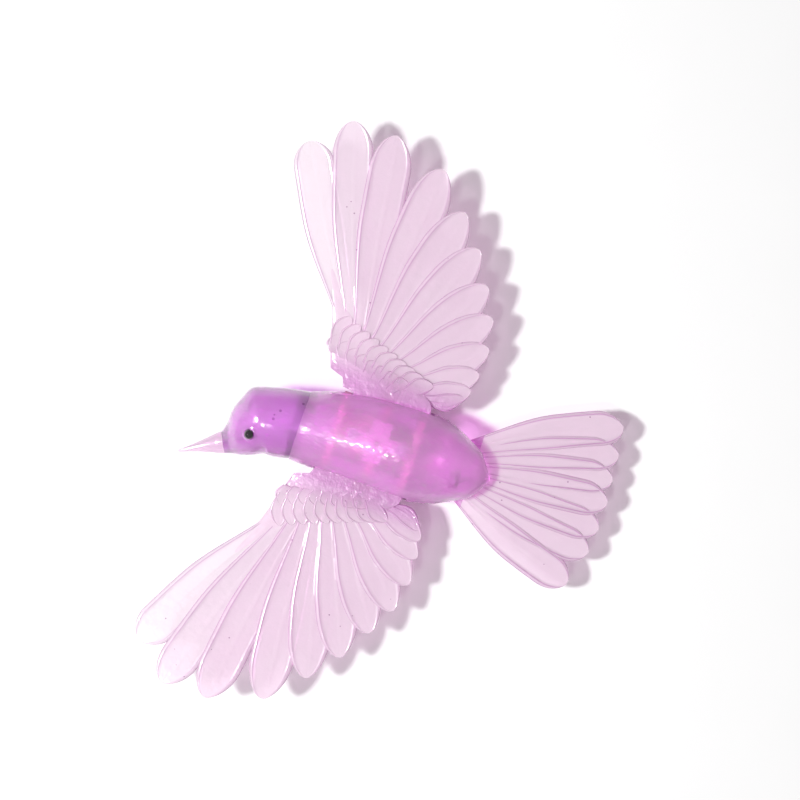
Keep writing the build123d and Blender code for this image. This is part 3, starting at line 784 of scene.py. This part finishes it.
def wing_lift(x, y):
    """Rise of the spread wing: none near the body, then a slow curve up to the tips and a cup across."""
    out = np.clip((x - 30) / 90, 0, 1)
    return 2.6 * out ** 2 - 0.9 * out * ease((y + 20) / 50)


def limb_rings():
    """Wing limb as rings round its outward line: square by the hinge, then blunt in front and thin behind."""
    x = np.concatenate([LIMB[:3, 0], np.linspace(17.5, LIMB[-1, 0], 60)])
    front, rear, top, under = (np.interp(x, LIMB[:, 0], LIMB[:, i])[:, None] for i in range(1, 5))
    turn = np.linspace(0, 2 * pi, 72, endpoint=False)[None]
    s = np.cos(turn)
    chord = (front + rear) / 2 - (rear - front) / 2 * s
    shape = np.abs(np.sin(turn)) ** 0.7 * (1 + 0.25 * s * ease((x[:, None] - 20) / 8))
    z = HINGE_Z + np.where(np.sin(turn) >= 0, top * shape, -under * shape)
    flat = ease((x[:, None] - 20) / 6)
    square = np.clip(np.abs(np.sin(turn)) * 6, 0, 1)
    z = z * flat + (HINGE_Z + np.where(np.sin(turn) >= 0, top * square, -under * square)) * (1 - flat)
    x = np.repeat(x[:, None], turn.shape[1], 1)
    return np.stack([x, chord, z + wing_lift(x, chord)], -1)


def wing_solid(name):
    """The left wing: hinge barrel, limb, flight feathers and two rows of coverts, made one closed solid."""
    count = len(WING_FEATHERS)
    wing = tube_mesh(name, limb_rings())
    parts = []
    for i, (out, back, width) in enumerate(WING_FEATHERS):
        share = i / (count - 1)
        root = (WRIST[0] + (ELBOW[0] - WRIST[0]) * share, WRIST[1] + (ELBOW[1] - WRIST[1]) * share)
        parts.append(feather(f"flight{i}", root, (out, back), width, HINGE_Z - 0.1, thick=1.05, lift=wing_lift,
                             bend=-1.5 + 3.0 * share, tilt=-0.45, narrow=0.5, rim=0.5, shaft=0.3,
                             point=TIP_CLOSE[min(i, 4)], number=(FIRST, SECOND, PLAIN)[min(i, 2)]))
    for row, (in_row, first_root, last_root, first_tip, last_tip, width, low, high) in enumerate(COVERTS):
        for i in range(in_row):
            share = i / (in_row - 1)
            root = np.array(first_root) + share * (np.array(last_root) - first_root)
            tip = np.array(first_tip) + share * (np.array(last_tip) - first_tip)
            parts.append(feather(f"covert{row}_{i}", root, tip, width, HINGE_Z + low, HINGE_Z + high, thick=0.9,
                                 bend=-1.3, tilt=-0.4, narrow=0.75, rim=0.6, shaft=0.0, point=0.9,
                                 lift=wing_lift))
    for front, rear in ((BARREL_FRONT, -ARM_GAP), (ARM_GAP, BARREL_REAR)):
        parts.append(round_bar("barrel", (HINGE_X, front, HINGE_Z), (HINGE_X, rear, HINGE_Z), BARREL_R))
    united(wing, parts)
    cutters = [round_bar("bore", (HINGE_X, -17, HINGE_Z), (HINGE_X, 17, HINGE_Z), PIN_BORE_R),
               round_bar("gap", (HINGE_X, -ARM_GAP, HINGE_Z), (HINGE_X, ARM_GAP, HINGE_Z), BARREL_R + 0.1)]
    return carved(wing, cutters)


class DECOY_OT_wings(Operator):
    """Build the two feathered wings with their hinge barrels"""
    bl_idname = "decoy.wings"
    bl_label = "Wings"

    def execute(self, context):
        left = wing_solid("left_wing_resin")
        right = mirrored(left, "right_wing_resin")
        for wing, body in ((left, "left_wing"), (right, "right_wing")):
            finish_piece(wing, body, body, context.scene["decoy_feather"], 40)
        return {"FINISHED"}


class DECOY_OT_tail(Operator):
    """Build the tail fan with its root tongue"""
    bl_idname = "decoy.tail"
    bl_label = "Tail"

    def execute(self, context):
        tail = block("tail_fan_resin", *TAIL_TONGUE)
        parts = []
        for i, (x, y, height) in enumerate(TAIL_FEATHERS):
            spread = i - (len(TAIL_FEATHERS) - 1) / 2
            root = (TAIL_PIVOT[0] + 2.2 * spread, TAIL_PIVOT[1] - 2 - 0.25 * spread ** 2)
            parts.append(feather(f"tail{i}", root, (x, y), TAIL_WIDTH, TAIL_Z + height, TAIL_ROOT_Z, thick=1.1,
                                 bend=-0.6 * spread, tilt=0.12 * spread, narrow=0.42, rim=0.75, shaft=0.35,
                                 point=0.7, number=TAIL))
        united(tail, parts)
        carved(tail, [upright_bar("hole", TAIL_SCREW, 10, 18, TONGUE_HOLE_R)])
        finish_piece(tail, "body", "tail_fan", context.scene["decoy_feather"], 40)
        return {"FINISHED"}


# ---- Spring and carried-over pieces -------------------------------------------------------------------


class DECOY_OT_spring(Operator):
    """Build the return spring's coil, at one fixed length"""
    bl_idname = "decoy.spring"
    bl_label = "Return spring"

    def execute(self, context):
        low, high = node_box("return_spring")
        wire, turns = 0.35, 6
        radius = (high[0] - low[0]) / 2 - wire
        t = np.linspace(0, 1, turns * 40)[:, None]
        angle = 2 * pi * turns * t
        height = low[2] + wire + (high[2] - low[2] - 2 * wire) * t
        middle = np.stack([radius * np.cos(angle), radius * np.sin(angle), height], -1)
        turn = np.linspace(0, 2 * pi, 16, endpoint=False)[None]
        out_way, up_way = np.stack([np.cos(angle), np.sin(angle), 0 * angle], -1), np.array((0, 0, 1.0))
        rings = middle + wire * (np.cos(turn)[..., None] * out_way + np.sin(turn)[..., None] * up_way)
        spring = tube_mesh("return_spring_wire", rings)
        finish_piece(spring, "body", "return_spring", context.scene["decoy_steel"])
        travel = JOINTS["crosshead_slide"]["range_m"][1] / MM
        1 - travel / (high[2] - low[2])
        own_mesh(spring)
        return {"FINISHED"}


class DECOY_OT_fittings(Operator):
    """Give the hinge block, linkage, screws and socket their finishes"""
    bl_idname = "decoy.fittings"
    bl_label = "Fittings"

    def execute(self, context):
        finishes = {"rose_resin": "decoy_rose", "slider": "decoy_slider", "steel": "decoy_steel",
                    "brass": "decoy_brass"}
        for part in frame["record"]["subparts"]:
            shown = frame["nodes"][part["node"]]
            if not shown.hide_render and part["material_slot"] in finishes:
                shown.data.materials.clear()
                shown.data.materials.append(context.scene[finishes[part["material_slot"]]])
                smooth(shown)
        return {"FINISHED"}


class DECOY_OT_materials(Operator):
    """Make the resins and metals"""
    bl_idname = "decoy.materials"
    bl_label = "Materials"

    def execute(self, context):
        scene, colours = context.scene, context.scene.decoy_colours
        scene["decoy_shell"] = resin(
            "shell_resin", (colours.shell, (0.98, 0.72, 0.95)), clear_share=0.72, depth=(0.74, 0.10, 0.70),
            density=130.0, roughness=0.22, lamp_tint=(0.88, 0.80, 0.88), swell=1.4, ripple=0.3, strokes=0.7,
            glow=1.0)
        scene["decoy_head"] = resin(
            "head_resin", (colours.shell, (0.88, 0.60, 0.90)), clear_share=0.78, depth=(0.56, 0.10, 0.60),
            density=170.0, roughness=0.17, lamp_tint=(0.88, 0.80, 0.90), swell=1.2, ripple=0.2, strokes=0.5,
            specks=0.09, glow=1.0)
        scene["decoy_beak"] = resin(
            "beak_resin", (colours.feather, (0.93, 0.80, 0.91)), clear_share=0.5, depth=(0.7, 0.2, 0.66),
            density=120.0, roughness=0.10, lamp_tint=(0.6, 0.5, 0.6))
        scene["decoy_feather"] = resin(
            "feather_resin", (colours.feather, (0.97, 0.86, 0.94)), clear_share=0.42, depth=(0.62, 0.12, 0.52),
            density=120.0, roughness=0.2, lamp_tint=(0.30, 0.20, 0.28), gloss=0.8, swell=0.5, ripple=0.5,
            specks=0.05, vanes=True)
        scene["decoy_rose"] = resin(
            "rose_resin", ((0.80, 0.32, 0.52), (0.84, 0.40, 0.60)), clear_share=0.2, depth=(0.8, 0.2, 0.5),
            density=60.0, roughness=0.4, lamp_tint=(0.8, 0.6, 0.75))
        scene["decoy_slider"] = solid_finish("rose_moulding", (0.66, 0.34, 0.56), (0.60, 0.30, 0.52), 0.5)
        scene["decoy_steel"] = solid_finish("bright_steel", (0.72, 0.70, 0.73), (0.62, 0.60, 0.64), 0.25, 1.0,
                                            grain=(1, 1, 6))
        scene["decoy_brass"] = solid_finish("turned_brass", (0.83, 0.66, 0.36), (0.75, 0.56, 0.28), 0.28, 1.0)
        scene["decoy_eye"] = solid_finish("eye_bead", (0.012, 0.010, 0.014), (0.02, 0.015, 0.02), 0.08,
                                          coat=1.0)
        return {"FINISHED"}


# ---- Stage ------------------------------------------------------------------------------------------

LAMP_DISTANCE = 1.4
GLINT_WAY = (1.0, -0.35)
GLINT_ELEVATION = radians(71)
GLINT_SIZE = 0.12
CAMERA_AIM_Z = 0.018        # half the body's height, where the field is measured


def area_light(name, way, elevation, size, power):
    """Square lamp in a direction given by a flat vector and an elevation, aimed at the origin."""
    lamp = bpy.data.lights.new(name, "AREA")
    lamp.size = size
    lamp.energy = power
    obj = place(name, lamp)
    flat = Vector((way[0], way[1], 0)).normalized() * cos(elevation)
    direction = Vector((flat.x, flat.y, sin(elevation)))
    obj.location = direction * LAMP_DISTANCE
    obj.rotation_mode = "QUATERNION"
    obj.rotation_quaternion = direction.to_track_quat("Z", "Y")
    return obj


def paper_floor():
    """Large square of matt white paper at height 0."""
    half = 4.0
    mesh = bpy.data.meshes.new("floor")
    corners = [(-half, -half, 0), (half, -half, 0), (half, half, 0), (-half, half, 0)]
    mesh.from_pydata(corners, [], [(0, 1, 2, 3)])
    floor = place("floor", mesh)
    paper, tree = new_material("paper")
    coordinates = tree.nodes.new("ShaderNodeTexCoord")
    fibre = node(tree, "ShaderNodeTexNoise", Vector=Wire(tree, coordinates.outputs["Object"]), Scale=30.0)
    shader = node(tree, "ShaderNodeBsdfPrincipled", Roughness=0.8,
                  Base_Color=blend_colours(tree, fibre, (0.93, 0.93, 0.93), (0.95, 0.95, 0.95)))
    out = tree.nodes.new("ShaderNodeOutputMaterial")
    feed(tree, out.inputs["Surface"], shader)
    mesh.materials.append(paper)


def overhead_camera(scene, stage, turn):
    """Camera that looks straight down from where its view is as wide as the stage's field."""
    camera = bpy.data.cameras.new("camera")
    camera.lens = 100
    camera.sensor_width = 36
    camera.clip_end = 10
    distance = stage.field * camera.lens / camera.sensor_width
    obj = place("camera", camera)
    obj.location = (stage.aim[0], stage.aim[1], CAMERA_AIM_Z + distance)
    obj.rotation_euler = (0, 0, radians(90) + turn)
    scene.camera = obj


class DECOY_OT_stage(Operator):
    """Build the pale floor, the lamps and the camera above"""
    bl_idname = "decoy.stage"
    bl_label = "Stage"

    def execute(self, context):
        scene, stage = context.scene, context.scene.decoy_stage
        paper_floor()
        turn = radians(stage.body_angle)
        area_light("key", (sin(turn), -cos(turn)), stage.key_elevation, stage.key_size, stage.key_power)
        area_light("glint", GLINT_WAY, GLINT_ELEVATION, GLINT_SIZE, stage.glint_power)
        world = bpy.data.worlds.new("studio")
        world.use_nodes = True
        world.node_tree.nodes["Background"].inputs["Color"].default_value = (1.0, 0.985, 0.995, 1)
        world.node_tree.nodes["Background"].inputs["Strength"].default_value = stage.fill
        scene.world = world
        scene.view_settings.view_transform = "Standard"
        overhead_camera(scene, stage, turn)
        return {"FINISHED"}


# ---- Add-on -----------------------------------------------------------------------------------------


class DecoyColours(PropertyGroup):
    """Colours of the resins."""
    shell: FloatVectorProperty(
        name="Shell", description="Colour of the body and head", default=(0.88, 0.52, 0.88), subtype="COLOR",
        min=0, max=1)
    feather: FloatVectorProperty(
        name="Feathers", description="Colour of the wings, tail and beak", default=(0.95, 0.79, 0.91),
        subtype="COLOR", min=0, max=1)


class DecoyStage(PropertyGroup):
    """Light and camera."""
    body_angle: FloatProperty(
        name="Body angle", description="Turn of the camera about the vertical, in degrees", default=18.9)
    field: FloatProperty(
        name="Field", description="Width of the camera's view at the decoy", default=0.320, unit="LENGTH")
    aim: FloatVectorProperty(
        name="Aim", description="Point below the camera", size=2, default=(-0.0190, 0.0032), subtype="XYZ",
        unit="LENGTH")
    key_elevation: FloatProperty(
        name="Key height", description="Elevation of the main lamp", default=radians(57), subtype="ANGLE")
    key_size: FloatProperty(name="Key size", description="Width of the main lamp", default=0.16, unit="LENGTH")
    key_power: FloatProperty(name="Key power", description="Power of the main lamp", default=17.6, unit="POWER")
    glint_power: FloatProperty(
        name="Glint power", description="Power of the small lamp that lights the back's ridge", default=2.4,
        unit="POWER")
    fill: FloatProperty(name="Fill", description="Strength of the light from all round", default=0.31)


STEPS = ("materials", "stage", "back_shell", "belly_shell", "head", "eyes", "beak", "wings", "tail", "spring",
         "fittings")


class DECOY_PT_panel(Panel):
    """Sizes, colours and build steps of the decoy."""
    bl_label = "Songbird decoy"
    bl_space_type = "VIEW_3D"
    bl_region_type = "UI"
    bl_category = "Decoy"

    def draw(self, context):
        for group in (context.scene.decoy_colours, context.scene.decoy_stage):
            for key in group.bl_rna.properties.keys():
                if key not in ("rna_type", "name"):
                    self.layout.prop(group, key)
        for step in STEPS:
            self.layout.operator(f"decoy.{step}")


CLASSES = (DecoyColours, DecoyStage, DECOY_OT_materials, DECOY_OT_stage, DECOY_OT_back_shell,
           DECOY_OT_belly_shell, DECOY_OT_head, DECOY_OT_eyes, DECOY_OT_beak, DECOY_OT_wings, DECOY_OT_tail,
           DECOY_OT_spring, DECOY_OT_fittings, DECOY_PT_panel)


def register():
    for cls in CLASSES:
        bpy.utils.register_class(cls)
    bpy.types.Scene.decoy_colours = PointerProperty(type=DecoyColours)
    bpy.types.Scene.decoy_stage = PointerProperty(type=DecoyStage)


def unregister():
    del bpy.types.Scene.decoy_stage
    del bpy.types.Scene.decoy_colours
    for cls in reversed(CLASSES):
        bpy.utils.unregister_class(cls)


def main():
    register()
    for step in STEPS:
        getattr(bpy.ops.decoy, step)()


if __name__ == "__main__":
    main()
